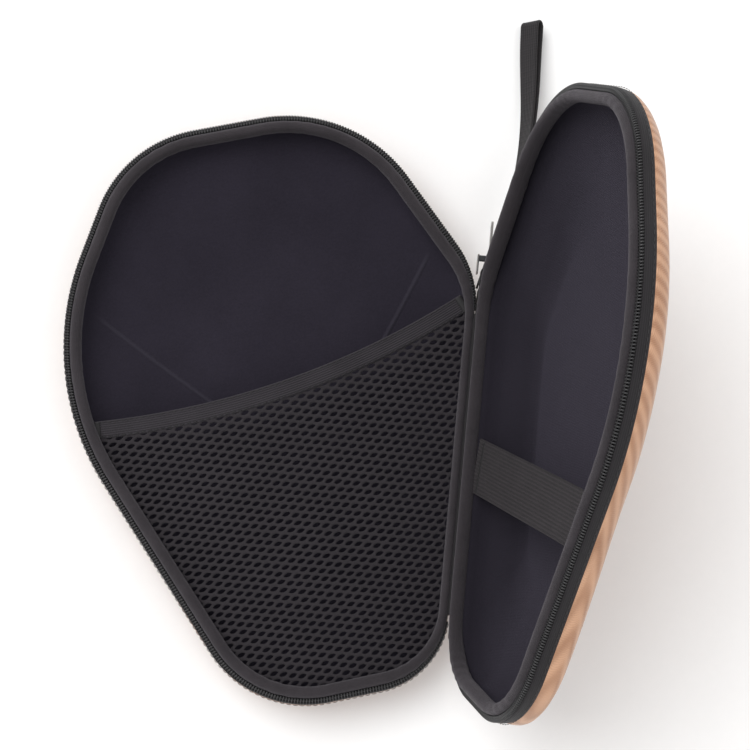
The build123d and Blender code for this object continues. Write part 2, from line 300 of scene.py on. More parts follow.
def stitches(path, length, gap, dip=0.12, lift=None):
    """Short threads along a path of points, each bowed away from the cloth along lift."""
    distance = arc_length(path, False)
    made = []
    s = gap
    while s + length < distance[-1]:
        at = np.linspace(s, s + length, 5)
        points = np.stack([np.interp(at, distance, path[:, k]) for k in range(3)], -1)
        if lift is not None:
            middle = np.stack([np.interp(at, distance, lift[:, k]) for k in range(3)], -1)
            points = points + middle * (dip * np.sin(np.linspace(0, math.pi, 5)))[:, None]
        made.append(points)
        s += length + gap
    return made


# ---------- materials ----------

OBJECT_COORDINATES = 3  # outputs of the Texture Coordinate and Geometry nodes
POINTINESS = 7


class Nodes:
    """A material under construction. Numbers and sockets are both taken as inputs; lengths are millimetres."""

    def __init__(self, name):
        self.mat = bpy.data.materials.new(name)
        self.mat.use_nodes = True
        self.tree = self.mat.node_tree
        self.shader = self.tree.nodes["Principled BSDF"]

    def put(self, kind, out=0, settings=None, **inputs):
        """A new node's output; an input is named, or given by its number as i0, i1 and so on."""
        node = self.tree.nodes.new(kind)
        for key, value in (settings or {}).items():
            setattr(node, key, value)
        for key, value in inputs.items():
            numbered = key[0] == "i" and key[1:].isdigit()
            self.feed(node.inputs[int(key[1:]) if numbered else key], value)
        return node.outputs[out]

    def feed(self, socket, value):
        """Links a socket to the input, or sets the input to a plain value."""
        if isinstance(value, bpy.types.NodeSocket):
            self.tree.links.new(value, socket)
        else:
            socket.default_value = value

    def math(self, operation, a, b=0.0, c=0.0):
        return self.put("ShaderNodeMath", settings={"operation": operation}, i0=a, i1=b, i2=c)

    def wave(self, value, pitch):
        """0 to 1 and back in each pitch."""
        sine = self.math("SINE", self.math("MULTIPLY", value, 2 * math.pi / pitch))
        return self.math("MULTIPLY_ADD", sine, 0.5, 0.5)

    def noise(self, scale, detail=3.0, rough=0.55):
        """Noise in the piece's own place, so that it stays put when the piece moves; scale is per metre."""
        vector = self.put("ShaderNodeTexCoord", out=OBJECT_COORDINATES)
        return self.put("ShaderNodeTexNoise", Vector=vector, Scale=scale, Detail=detail, Roughness=rough)

    def uv(self):
        """The two UV coordinates, in millimetres."""
        split = self.tree.nodes.new("ShaderNodeSeparateXYZ")
        self.tree.links.new(self.put("ShaderNodeUVMap", settings={"uv_map": "UVMap"}), split.inputs[0])
        return split.outputs[0], split.outputs[1]

    def mix(self, share, a, b):
        """Colour a where share is 0 and b where it is 1."""
        node = self.tree.nodes.new("ShaderNodeMix")
        node.data_type = "RGBA"
        for socket, value in zip((node.inputs[0], node.inputs[6], node.inputs[7]), (share, a, b)):
            self.feed(socket, value)
        return node.outputs[2]

    def bump(self, height, distance, strength=1.0, normal=None):
        """A normal, from a height of 0 to 1 that stands for distance millimetres."""
        node = self.tree.nodes.new("ShaderNodeBump")
        node.inputs["Strength"].default_value = strength
        node.inputs["Distance"].default_value = distance * MM
        self.tree.links.new(height, node.inputs["Height"])
        if normal is not None:
            self.tree.links.new(normal, node.inputs["Normal"])
        return node.outputs[0]

    def weave(self, u, v, pitch_u, pitch_v):
        """Height of a plain weave."""
        cell = self.math("ADD", self.math("FLOOR", self.math("DIVIDE", u, pitch_u)),
                         self.math("FLOOR", self.math("DIVIDE", v, pitch_v)))
        parity = self.math("FLOORED_MODULO", cell, 2.0)
        warp = self.math("ABSOLUTE", self.math("SINE", self.math("MULTIPLY", u, math.pi / pitch_u)))
        weft = self.math("ABSOLUTE", self.math("SINE", self.math("MULTIPLY", v, math.pi / pitch_v)))
        over = self.math("MULTIPLY", warp, self.math("MULTIPLY_ADD", parity, 0.55, 0.45))
        under = self.math("MULTIPLY", weft, self.math("MULTIPLY_ADD", parity, -0.55, 1.0))
        return self.math("MAXIMUM", over, under)

    def done(self, **values):
        """The material, with its shader's inputs set by name."""
        for key, value in values.items():
            self.feed(self.shader.inputs[key.replace("_", " ")], value)
        return self.mat


def rgb(r, g, b):
    return (r, g, b, 1.0)


def coated_cloth():
    """Rose-gold coated cloth, embossed with a coarse twill."""
    n = Nodes("coated_cloth")
    u, v = n.uv()
    lean = math.radians(-52)
    wobble = n.noise(28.0, 2.0)
    t = n.math("ADD", n.math("MULTIPLY", u, math.cos(lean)), n.math("MULTIPLY", v, math.sin(lean)))
    t = n.math("ADD", t, n.math("MULTIPLY", wobble, 0.9))
    along = n.math("SUBTRACT", n.math("MULTIPLY", v, math.cos(lean)), n.math("MULTIPLY", u, math.sin(lean)))
    ridge = n.wave(t, 4.7)
    slant = n.math("ADD", along, n.math("MULTIPLY", n.math("PINGPONG", t, 2.35), 0.6))
    thread = n.wave(slant, 1.05)
    fine = n.weave(u, v, 0.42, 0.42)
    patch = n.noise(55.0, 4.0)
    tone = n.math("ADD", n.math("MULTIPLY", ridge, 0.48),
                  n.math("ADD", n.math("MULTIPLY", thread, 0.18), n.math("MULTIPLY", patch, 0.6)))
    tone = n.math("SUBTRACT", tone, 0.12)
    colour = n.mix(tone, rgb(0.32, 0.15, 0.076), rgb(0.64, 0.375, 0.235))
    height = n.math("ADD", n.math("MULTIPLY", ridge, 0.62),
                    n.math("ADD", n.math("MULTIPLY", thread, 0.26), n.math("MULTIPLY", fine, 0.12)))
    rough = n.math("MULTIPLY_ADD", patch, 0.22, 0.36)
    return n.done(Base_Color=colour, Roughness=rough, Metallic=0.22, Normal=n.bump(height, 0.42, 0.8),
                  Sheen_Weight=0.1, Coat_Weight=0.12, Coat_Roughness=0.35)


def lining_cloth(name, creases=(), light=rgb(0.032, 0.0275, 0.041)):
    """Brushed knit lining, blue-black, with pressed crease lines, each lightened along its length by a painted
    highlight.
    """
    n = Nodes(name)
    u, v = n.uv()
    fuzz = n.noise(950.0, 4.0, 0.75)
    cloud = n.noise(24.0, 3.0)
    knit = n.weave(u, v, 0.55, 0.7)
    tone = n.math("ADD", n.math("MULTIPLY", fuzz, 0.6), n.math("MULTIPLY", cloud, 0.5))
    tone = n.math("SUBTRACT", tone, 0.1)
    colour = n.mix(tone, rgb(0.0085, 0.0072, 0.0115), light)
    height = n.math("ADD", n.math("MULTIPLY", fuzz, 0.6), n.math("MULTIPLY", knit, 0.4))
    normal = n.bump(height, 0.26, 0.8)
    for (w0, u0), (w1, u1) in creases:
        length = math.hypot(w1 - w0, u1 - u0)
        cw, cu = (w1 - w0) / length, (u1 - u0) / length
        dw, du = n.math("SUBTRACT", u, w0), n.math("SUBTRACT", v, u0)
        run = n.math("ADD", n.math("MULTIPLY", dw, cw), n.math("MULTIPLY", du, cu))
        off = n.math("SUBTRACT", n.math("MULTIPLY", du, cw), n.math("MULTIPLY", dw, cu))
        line = n.put("ShaderNodeMapRange", settings={"interpolation_type": "SMOOTHSTEP"},
                     i0=n.math("ABSOLUTE", off), i1=0.1, i2=1.5, i3=1.0, i4=0.0)
        fade = n.put("ShaderNodeMapRange", settings={"interpolation_type": "SMOOTHSTEP"},
                     i0=n.math("ABSOLUTE", n.math("SUBTRACT", run, length / 2)),
                     i1=length / 2 - 6.0, i2=length / 2 + 3.0, i3=1.0, i4=0.0)
        line = n.math("MULTIPLY", line, fade)
        normal = n.bump(line, -0.7, 0.8, normal)
        # Painted highlight: the colour is lifted to a lighter blue-black along each crease line, while the bump
        # above makes its groove.
        colour = n.mix(n.math("MULTIPLY", line, 0.3), colour, rgb(0.05, 0.046, 0.06))
    return n.done(Base_Color=colour, Roughness=0.93, Normal=normal, Sheen_Weight=0.14,
                  Sheen_Roughness=0.5, Sheen_Tint=rgb(0.66, 0.6, 0.8), Specular_IOR_Level=0.15)


def roll_cloth():
    """Knitted binding over a padded roll, brownish black."""
    n = Nodes("roll_cloth")
    u, v = n.uv()
    rib = n.wave(v, 0.75)
    knit = n.weave(u, v, 0.5, 0.75)
    cloud = n.noise(60.0, 4.0)
    fuzz = n.noise(1150.0, 3.0, 0.75)
    tone = n.math("ADD", n.math("MULTIPLY", cloud, 0.5),
                  n.math("ADD", n.math("MULTIPLY", fuzz, 0.6), n.math("MULTIPLY_ADD", rib, 0.12, -0.12)))
    colour = n.mix(tone, rgb(0.0085, 0.0074, 0.0086), rgb(0.056, 0.0485, 0.0545))
    height = n.math("ADD", n.math("MULTIPLY", knit, 0.6), n.math("MULTIPLY", fuzz, 0.4))
    soft = n.bump(n.noise(120.0, 4.0), 0.7, 0.6)
    return n.done(Base_Color=colour, Roughness=0.88, Normal=n.bump(height, 0.24, 0.85, soft),
                  Sheen_Weight=0.22, Sheen_Roughness=0.45, Sheen_Tint=rgb(0.8, 0.75, 0.82),
                  Specular_IOR_Level=0.2)


def ribbed(name, dark, light, across, along, depth, rough=0.8, sheen=0.2):
    """Narrow woven goods: ribs along the length and threads across them."""
    n = Nodes(name)
    u, v = n.uv()
    rib = n.wave(v, across)
    thread = n.wave(u, along)
    weave = n.weave(u, v, along, across / 2)
    fuzz = n.noise(2100.0, 2.0, 0.7)
    cloud = n.noise(70.0, 3.0)
    tone = n.math("ADD", n.math("MULTIPLY", rib, 0.42),
                  n.math("ADD", n.math("MULTIPLY", fuzz, 0.3), n.math("MULTIPLY", cloud, 0.35)))
    tone = n.math("ADD", tone, n.math("MULTIPLY_ADD", thread, 0.16, -0.12))
    height = n.math("ADD", n.math("MULTIPLY", rib, 0.55),
                    n.math("ADD", n.math("MULTIPLY", weave, 0.3), n.math("MULTIPLY", fuzz, 0.15)))
    return n.done(Base_Color=n.mix(tone, dark, light), Roughness=rough, Normal=n.bump(height, depth, 0.9),
                  Sheen_Weight=sheen, Sheen_Roughness=0.5, Specular_IOR_Level=0.25)


def net_cloth():
    """Spacer mesh strands: a fine knit over a rounded strand."""
    n = Nodes("net")
    u, v = n.uv()
    knit = n.weave(u, v, 0.38, 0.5)
    fuzz = n.noise(2300.0, 2.0, 0.7)
    cloud = n.noise(45.0, 3.0)
    tone = n.math("ADD", n.math("MULTIPLY", knit, 0.35),
                  n.math("ADD", n.math("MULTIPLY", fuzz, 0.4), n.math("MULTIPLY", cloud, 0.3)))
    height = n.math("ADD", n.math("MULTIPLY", knit, 0.6), n.math("MULTIPLY", fuzz, 0.4))
    colour = n.mix(tone, rgb(0.009, 0.0078, 0.0092), rgb(0.034, 0.029, 0.034))
    return n.done(Base_Color=colour, Roughness=0.82,
                  Normal=n.bump(height, 0.12, 0.8), Sheen_Weight=0.12, Specular_IOR_Level=0.2)


def speckled(name, dark, light, rough, scale, depth, metallic=0.0, coat=0.0, wear=None):
    """Smooth stock with a fine grain, and worn edges where wear gives a colour."""
    n = Nodes(name)
    grain = n.noise(scale, 3.0)
    cloud = n.noise(90.0, 3.0)
    colour = n.mix(n.math("ADD", n.math("MULTIPLY", grain, 0.5), n.math("MULTIPLY", cloud, 0.5)), dark, light)
    if wear is not None:
        edge = n.put("ShaderNodeNewGeometry", out=POINTINESS)
        share = n.put("ShaderNodeMapRange", i0=n.math("ADD", edge, n.math("MULTIPLY", grain, 0.06)),
                      i1=0.58, i2=0.68, i3=0.0, i4=0.75)
        colour = n.mix(share, colour, wear)
    return n.done(Base_Color=colour, Roughness=n.math("MULTIPLY_ADD", grain, 0.16, rough - 0.08),
                  Metallic=metallic, Coat_Weight=coat, Normal=n.bump(grain, depth, 0.6))


# Crease lines of the pocket half's lining, from one (w, u) to another
CREASES = (((175.7, 52.9), (114.0, 16.7)), ((23.8, 98.9), (46.0, 46.0)))
SKIN = coated_cloth()
# The tray half's lining is the same cloth as the pocket's, given a darker colour as painted shade for its
# tilted, shaded inside.
LINING = {"pocket": lining_cloth("lining_cloth_pocket", CREASES),
          "tray": lining_cloth("lining_cloth_tray_painted_shade", light=rgb(0.019, 0.0165, 0.0235))}
ROLL = roll_cloth()
TAPE = ribbed("zip_tape", rgb(0.0065, 0.006, 0.0065), rgb(0.026, 0.023, 0.026), 0.9, 0.7, 0.18, sheen=0.1)
COIL = speckled("zip_chain", rgb(0.009, 0.009, 0.0095), rgb(0.024, 0.023, 0.025), 0.36, 900.0, 0.03)
NET = net_cloth()
ELASTIC = ribbed("elastic", rgb(0.007, 0.006, 0.0075), rgb(0.048, 0.042, 0.050), 1.02, 0.6, 0.4, sheen=0.1)
STRAP = ribbed("strap_elastic", rgb(0.0035, 0.0028, 0.0034), rgb(0.043, 0.035, 0.040),
               STRAP_WIDTH / STRAP_RIBS, 0.7, 0.5, sheen=0.05)
THREAD = speckled("thread", rgb(0.008, 0.0075, 0.008), rgb(0.03, 0.028, 0.03), 0.6, 1500.0, 0.04)
SPINE = ribbed("spine_cloth", rgb(0.006, 0.0055, 0.006), rgb(0.022, 0.02, 0.022), 0.8, 0.8, 0.12, sheen=0.08)
WEBBING = ribbed("webbing", rgb(0.006, 0.0055, 0.006), rgb(0.030, 0.0265, 0.029), 1.1, WEBBING_RIB, 0.3,
                 sheen=0.1)
METAL = speckled("slider_metal", rgb(0.014, 0.014, 0.016), rgb(0.03, 0.03, 0.034), 0.32, 700.0, 0.02,
                 metallic=0.7, coat=0.5, wear=rgb(0.42, 0.40, 0.38))
FOAM = speckled("foam", rgb(0.03, 0.03, 0.032), rgb(0.07, 0.07, 0.074), 0.9, 1300.0, 0.2)

BODY = {"pocket": "pocket_half", "tray": "tray_half"}


def settle(piece, body, slot, *nodes):
    """Puts a piece on its body, in place of the frame's nodes; slot is not used."""
    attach(piece, body)
    if nodes:
        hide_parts(*nodes)
    return piece


# ---------- skins and linings ----------

def dome_rows(inset, depths, centre_steps):
    """Rows down the dome and in over its floor, each (points, depth); inset is the distance inside the foam."""
    rows = []
    for depth in depths:
        rise = inset * (depth - WALL) / (DEPTH - WALL)
        rows.append((loop(spread_at(depth), inset, None, SHELL_STEP), depth - rise))
    edge, low = rows[-1]
    middle = edge.mean(axis=0)
    for share in np.linspace(1, 0.04, centre_steps)[1:]:
        rows.append((middle + (edge - middle) * share, low))
    return rows


def unroll(rows):
    """The rows' points laid flat: true on the floor, and going outward up the wall by their real distance."""
    flat = [None] * len(rows)
    flat[-1] = rows[-1][0]
    for k in range(len(rows) - 2, -1, -1):
        move = rows[k][0] - rows[k + 1][0]
        length = np.hypot(move[:, 0], move[:, 1])
        real = np.sqrt(length**2 + np.mean(rows[k][1] - rows[k + 1][1]) ** 2)
        middle = rows[k][0] - rows[k][0].mean(axis=0)
        way = np.where(length[:, None] > 0.05, move / np.maximum(length, 1e-9)[:, None],
                       middle / np.linalg.norm(middle, axis=1)[:, None])
        flat[k] = flat[k + 1] + way * real[:, None]
    return flat


def shell(name, half, rows, mat, flip):
    """A bowl of closed rows, each (points, depth), shut by a fan of triangles at the floor's middle."""
    flat = unroll(rows)
    points = [place(half, wu, d) for wu, d in rows]
    faces, corners = grid(points, closed_u=True, flip=flip)
    n = len(points[0])
    uv = [flat[a][b % n] for a, b in corners]
    tip = len(points) * n
    centre = rows[-1][0].mean(axis=0)
    last = tip - n
    for i in range(n):
        tri = [last + i, last + (i + 1) % n, tip]
        pair = [flat[-1][i], flat[-1][(i + 1) % n], centre]
        faces.append(tri[::-1] if flip else tri)
        uv += pair[::-1] if flip else pair
    every = np.concatenate(points + [place(half, centre[None], float(np.mean(rows[-1][1])))])
    return mesh(name, every, faces, mat, uv)


SHELL_STEP = 2.0  # between the points of a cover's or lining's rows
COVER_DEPTHS = [7.0, 8.0, 9.2, 10.5, 11.8, 13.0, 14.2, 15.4, 16.6, 18.0, 19.5, 21.0, 22.5, 24.0, 25.2, 26.2,
                27.0, 27.35]
LINING_DEPTHS = [7.0, 8.2, 9.4, 10.6, 11.8, 13.0, 14.2, 15.4, 16.6, 18.0, 19.5, 21.0, 22.5, 24.0, 25.4, 26.6,
                 27.5]
LINING_INSET = 4.4  # the foam's thickness, and a little air
SWELL_DEPTH = 18.5  # the cover stands off the foam over this much depth, from the wall down
TOE_SWELL, FREE_SWELL, BELLY_SWELL = 6.6, 1.7, 1.5  # at the narrow end, the free side and its widest place


def swollen(wu, depth):
    """The cover stands a little off the foam where it turns round the narrow end and the free side."""
    way = wu - wu.mean(axis=0)
    way = way / np.maximum(np.linalg.norm(way, axis=1), 1e-6)[:, None]
    down = max(0.0, (depth - WALL) / SWELL_DEPTH)  # 0 at the wall, 1 where the swelling ends
    height = math.sin(math.pi * down ** 1.25) if down < 1 else 0.0
    toe = np.clip((-wu[:, 1] - 20.0) / 70.0, 0, 1)
    free = np.clip((wu[:, 0] - 40.0) / 90.0, 0, 1)
    belly = np.exp(-((wu[:, 1] - 45.0) / 30.0) ** 2) * np.clip((wu[:, 0] - 120.0) / 50.0, 0, 1)
    size = height * (TOE_SWELL * toe * toe * (3 - 2 * toe) + FREE_SWELL * free + BELLY_SWELL * belly)
    return wu + way * size[:, None]


for half, body in BODY.items():
    rows = dome_rows(0.0, COVER_DEPTHS, 16)
    rows = [(swollen(wu, d), d if d < COVER_DEPTHS[-1] else DEPTH) for wu, d in rows]
    # Its turned-in edge lies under the tape, and at the foam's edge where there is no tape
    bare = unzipped(loop(step=SHELL_STEP))
    tucked = np.where(bare[:, None], loop(1, 0.05, None, SHELL_STEP), loop(1, 0.45, None, SHELL_STEP))
    rows = [(tucked, 2.4), (tucked, 5.6)] + rows
    skin = shell(f"{half}_cover", half, rows, SKIN, flip=half == "tray")
    settle(skin, body, "coated_cloth", f"{half}_skin")

    rows = dome_rows(LINING_INSET, LINING_DEPTHS, 20)
    rows = [(loop(1, 3.9, 2.4, SHELL_STEP), 3.3), (loop(1, LINING_INSET, 3.6, SHELL_STEP), 4.6)] + rows
    wavy = []  # no cloth lies quite flat
    for wu, d in rows:
        wave = np.sin(wu[:, 0] / 17 + 1.3) * np.sin(wu[:, 1] / 23) + 0.5 * np.sin(wu[:, 0] / 7 + wu[:, 1] / 9)
        wavy.append((wu, d - 0.18 - 0.12 * wave))
    lining = shell(f"{half}_lining_cloth", half, wavy, LINING[half], flip=half == "pocket")
    settle(lining, body, "lining_cloth", f"{half}_lining")


# ---------- rolls, tape and zip chain ----------

def puckers(half):
    """A sewn roll is never even: it swells and gathers, most of all round the corners."""
    def change(rows, base):
        s = arc_length(base)[:-1]
        run = np.roll(base, -3, axis=0) - np.roll(base, 3, axis=0)
        heading = np.unwrap(np.arctan2(run[:, 1], run[:, 0]))
        bend = np.abs(np.gradient(heading, s))
        bend = np.convolve(np.concatenate([bend[-9:], bend, bend[:9]]), np.ones(19) / 19, "valid")
        bend = np.clip(bend / 0.026, 0, 1)
        k = 0.6 if half == "tray" else 0.0
        gather = np.sin(s / 1.15 + 2.1 * np.sin(s / 23 + k)) * (0.5 + 0.5 * np.sin(s / 9.7 + k))
        swell = 0.020 * np.sin(s / 31 + k) + 0.012 * np.sin(s / 12.3 + 1.7 + k)
        size = 1 + swell + 0.045 * bend * gather + 0.008 * gather
        middle = sum(rows) / len(rows)
        return [middle + (row - middle) * size[:, None] for row in rows]
    return change


def oval(inset, depth, a, b, n=28, power=0.9):
    """A roll's section: a slightly squared oval of half-widths a and b about (inset, depth)."""
    made = []
    for k in range(n):
        f = 2 * math.pi * k / n
        c, s = math.cos(f), math.sin(f)
        made.append((inset + a * math.copysign(abs(c) ** power, c),
                     depth + b * math.copysign(abs(s) ** power, s)))
    return made


# The way out of each half's rim
# (inset, depth) round the tape: from under the roll, over the rim's edge and down the wall, and back
TAPE_SECTION = [(2.4, 1.75), (1.2, 1.6), (0.2, 1.55), (-0.35, 2.1), (-0.55, 3.3), (-0.5, 4.6), (-0.3, 5.9),
                (-0.05, 6.9), (0.25, 7.15), (0.6, 6.7), (0.75, 5.0), (0.7, 3.0), (1.2, 2.3), (2.4, 2.25)]
# (inset, depth) along one turn of the coil, with the head that locks in the middle
TOOTH = [(-0.15, 1.45), (-0.15, 0.85), (0.25, 0.32), (0.7, 0.22), (1.15, 0.5),
         (1.6, 0.22), (2.05, 0.32), (2.3, 0.85), (2.3, 1.45)]
TOOTH_PITCH = 1.32
TOOTH_LEAN = 0.16  # how far each end of a turn leans along the zip
SEAM_INSET = -0.62  # the tape's seam runs just outside the tape
SEAM_DEPTH = 5.5
ROOT_CLEAR = 85.0  # past the hand loop's root along the hinge

for half, body in BODY.items():
    roll = ring(f"{half}_padded_roll", half, oval(5.0, 1.35, 2.7, 3.75), ROLL,
                hinge_profile=oval(2.3, 1.3, 2.05, 3.1), ripple=puckers(half), flip=half == "tray")
    settle(roll, body, "roll_cloth", f"{half}_rim_roll")
    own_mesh(roll)

    tape = ring(f"{half}_tape", half, TAPE_SECTION, TAPE, window=True, flip=half == "tray")
    settle(tape, body, "zip_tape", f"{half}_zip_tape")

    keep = zipped(loop(step=1.0))
    rims = {inset: loop(1, inset, None, 1.0)[keep] for inset, _ in TOOTH + [(SEAM_INSET, SEAM_DEPTH)]}
    lines = [place(half, rims[inset], depth) for inset, depth in TOOTH]
    middle = len(lines) // 2
    along = arc_length(lines[middle], False)
    teeth = []
    for s in np.arange(1.2, along[-1] - 1.2, TOOTH_PITCH):
        tooth = []
        for k, line in enumerate(lines):
            at = s + TOOTH_LEAN * (k - middle) / middle
            tooth.append([np.interp(at, along, line[:, axis]) for axis in range(3)])
        teeth.append(tooth)
    coil = tubes(f"{half}_coil", teeth, 0.43, COIL, sides=7, taper=1.0)
    settle(coil, body, "zip_chain", f"{half}_zip_chain")
    core = tubes(f"{half}_coil_thread", [place(half, rims[TOOTH[middle][0]], 0.42)], 0.24, THREAD, sides=6)
    settle(core, body, "thread")
    # The tray's seam starts past the loop's root, which it would touch when the case lies flat
    clear = int(np.argmax(rims[SEAM_INSET][:, 1] > ROOT_CLEAR)) if half == "tray" else 0
    seam = place(half, rims[SEAM_INSET], SEAM_DEPTH)
    outward = seam - place(half, rims[TOOTH[2][0]], SEAM_DEPTH)
    sewn = stitches((seam + 0.12 * outward)[clear:], 2.1, 0.9, 0.25, outward[clear:])
    seam_thread = tubes(f"{half}_tape_stitches", sewn, 0.16, THREAD, sides=5)
    settle(seam_thread, body, "thread")

    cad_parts[f"{half}_foam_shell"].data.materials.clear()
    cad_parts[f"{half}_foam_shell"].data.materials.append(FOAM)


# ---------- net pocket ----------

def lattice_net():
    """Spacer mesh: slanted oval holes on a skewed lattice, each in its six-sided cell, up to roll and hem."""
    step_a, step_b = np.array([-4.2, 0.0]), np.array([-2.72, 3.42])
    near = [step_a, step_b, step_b - step_a, -step_a, -step_b, step_a - step_b]
    corners = [(near[k] + near[(k + 1) % 6]) / 3 for k in range(6)]
    border = []
    for k in range(6):
        border += [corners[k], (corners[k] + corners[(k + 1) % 6]) / 2]
    border = np.array(border)
    angle = np.arctan2(border[:, 1], border[:, 0])
    slant = math.radians(150)
    long_half, short_half, power = 2.1, 0.95, 1.45  # a hole's half-lengths; power 2 would be an ellipse
    turned = angle - slant
    reach = ((np.abs(np.cos(turned)) / long_half) ** power
             + (np.abs(np.sin(turned)) / short_half) ** power) ** (-1 / power)
    hole = np.stack([np.cos(angle), np.sin(angle)], -1) * reach[:, None]
    edge = loop(1.0, 5.3, 3.4, 3.0)
    # From a strand's top, over its rounded edge and down through the hole, to its underside
    levels = [(border, 3.25), (border * 0.45 + hole * 0.55, 3.2), (hole, 3.55), (hole * 1.03, 4.2),
              (border, 4.45)]
    points, faces, found = [], [], {}

    def corner(wu, depth):
        """The number of the point there, shared between neighbouring cells."""
        key = (round(wu[0], 2), round(wu[1], 2), depth)
        if key not in found:
            found[key] = len(points)
            points.append((wu[0], wu[1], depth))
        return found[key]

    for i in range(-70, 90):
        for j in range(-60, 60):
            centre = np.array([100.0, 0.0]) + i * step_a + j * step_b
            if not (0 < centre[0] < 205 and -130 < centre[1] < 90):
                continue
            if np.linalg.norm(centre - HEM_CENTRE) < HEM_RADIUS + 5.4:
                continue
            if not inside(edge, centre[0], centre[1]):
                continue
            jitter = 0.06 * np.array([math.sin(i * 7.3 + j * 3.1), math.sin(i * 2.7 - j * 5.9)])
            rings = []
            for k, (shape, depth) in enumerate(levels):
                soft = jitter if k in (1, 2, 3) else np.zeros(2)
                rings.append([corner(centre + p + soft, depth) for p in shape])
            for k in range(len(levels) - 1):
                for a in range(len(border)):
                    b = (a + 1) % len(border)
                    faces.append([rings[k][a], rings[k][b], rings[k + 1][b], rings[k + 1][a]])
    points = np.array(points)
    sag = 0.35 * np.sin(points[:, 0] / 26) * np.sin(points[:, 1] / 31 + 0.8)
    uv = [points[v, :2] for f in faces for v in f]
    return mesh("net_cloth", place("pocket", points[:, :2], points[:, 2] + sag), faces, NET, uv)


net = lattice_net()
settle(net, "pocket_half", "net", "net_pocket")


def strip(name, line, side, depth_of, width, mat, half, thick, ribs, rib_height, edge=0.35):
    """A flat ribbed strip along a line of (w, u) points, side pointing across it, with rounded selvedges."""
    n = ribs * 6
    across = np.linspace(-width / 2, width / 2, n + 1)
    top, bottom = [], []
    for x in across:
        near_edge = min(1.0, (width / 2 - abs(x)) / edge)
        crown = thick / 2 * math.sqrt(max(0.0, 1 - (1 - near_edge) ** 2))
        phase = 2 * math.pi * (x + width / 2) / width * ribs + math.pi
        rib = rib_height * (0.5 + 0.5 * math.cos(phase)) * near_edge
        wu = line + side * x
        top.append(place(half, wu, depth_of(wu) - crown - rib))
        bottom.append(place(half, wu, depth_of(wu) + crown))
    rows = top + bottom[-2:0:-1]
    along = arc_length(line, False)
    v = list(across + width / 2) + list((across + width / 2)[-2:0:-1]) + [0.0]
    piece = band(name, rows, along, v, mat, closed_v=True, flip=half == "pocket")
    close_ends(piece, len(rows), len(rows[0]), flip=half == "pocket")
    return piece


# Elastic hem: along its circle, from roll to roll
turns = np.linspace(math.radians(180), math.radians(290), 900)
middle_circle = HEM_CENTRE + (HEM_RADIUS + 4.0) * np.stack([np.cos(turns), np.sin(turns)], -1)
held = inside(loop(1, 5.2, 3.6, 3.0), middle_circle[:, 0], middle_circle[:, 1])
hem_line = middle_circle[held][::2]
hem_side = (hem_line - HEM_CENTRE) / np.linalg.norm(hem_line - HEM_CENTRE, axis=1)[:, None]
hem = strip("net_hem", hem_line, hem_side, lambda wu: np.full(len(wu), 3.55), HEM_WIDTH, ELASTIC, "pocket", 1.5,
            HEM_RIBS, 0.12)
settle(hem, "pocket_half", "elastic", "net_pocket_hem")

sewn = []
for row in (-3.2, 3.3):
    path = place("pocket", hem_line + hem_side * row, 2.62)
    sewn += stitches(path, 2.0, 1.0, 0.2, np.tile([0.0, 0.0, 1.0], (len(path), 1)))
settle(tubes("net_hem_stitches", sewn, 0.14, THREAD, sides=5), "pocket_half", "thread")

tack_threads = []
for index in (1, -2):
    end, side = hem_line[index], hem_side[index]
    run = np.array([side[1], -side[0]])
    for k, x in enumerate(np.linspace(-3.4, 3.4, 15)):
        a = end + side * x + run * 1.9
        b = end + side * (x + 0.2) - run * 1.9
        path = [a + (b - a) * t for t in (0, 0.25, 0.5, 0.75, 1)]
        tack_threads.append(place("pocket", path, [2.75, 2.45, 2.4, 2.45, 2.75]))
tacks = tubes("net_hem_bar_tacks", tack_threads, 0.24, THREAD, sides=6)
settle(tacks, "pocket_half", "thread", "net_hem_tacks")


# ---------- elastic band of the tray ----------

BAND_MIDDLE = np.array([81.2, -20.4])
BAND_TURN = math.radians(-14.3)
BAND_TACKS = (-71.0, 56.7)  # how far along the band each row of tacks is
band_run = np.array([math.cos(BAND_TURN), math.sin(BAND_TURN)])
band_side = np.array([-band_run[1], band_run[0]])
band_line = BAND_MIDDLE + np.linspace(-90, 90, 241)[:, None] * band_run
held = inside(loop(1, 5.4, 3.8, 3.0), band_line[:, 0], band_line[:, 1])
band_line = band_line[held]


def band_depth(wu):
    """Taut at its ends, a little slack between, and rippled where it isn't held."""
    t = ((wu - BAND_MIDDLE) @ band_run) / 70
    s = ((wu - BAND_MIDDLE) @ band_side) / 12.5
    free = np.clip(1 - t**2, 0, 1)
    return 4.2 + free * (0.9 + 0.35 * np.sin(3.1 * t + 0.7) - 0.5 * s**2 * np.cos(2.2 * t))


elastic = strip("elastic_strap", band_line, band_side, band_depth, STRAP_WIDTH, STRAP, "tray", 1.15,
                STRAP_RIBS, 0.3)
settle(elastic, "tray_half", "elastic", "elastic_band")

tack_threads = []
for offset in BAND_TACKS:
    for x in np.linspace(-11.5, 11.5, 46):
        middle = BAND_MIDDLE + band_run * offset + band_side * x
        path = [middle + band_run * t for t in (-1.4, -0.7, 0, 0.7, 1.4)]
        depth = band_depth(np.array(path)) - np.array([0.55, 0.8, 0.85, 0.8, 0.55])
        tack_threads.append(place("tray", path, depth))
tacks = tubes("elastic_strap_bar_tacks", tack_threads, 0.24, THREAD, sides=6)
settle(tacks, "tray_half", "thread", "elastic_band_tacks")


# ---------- spine ----------

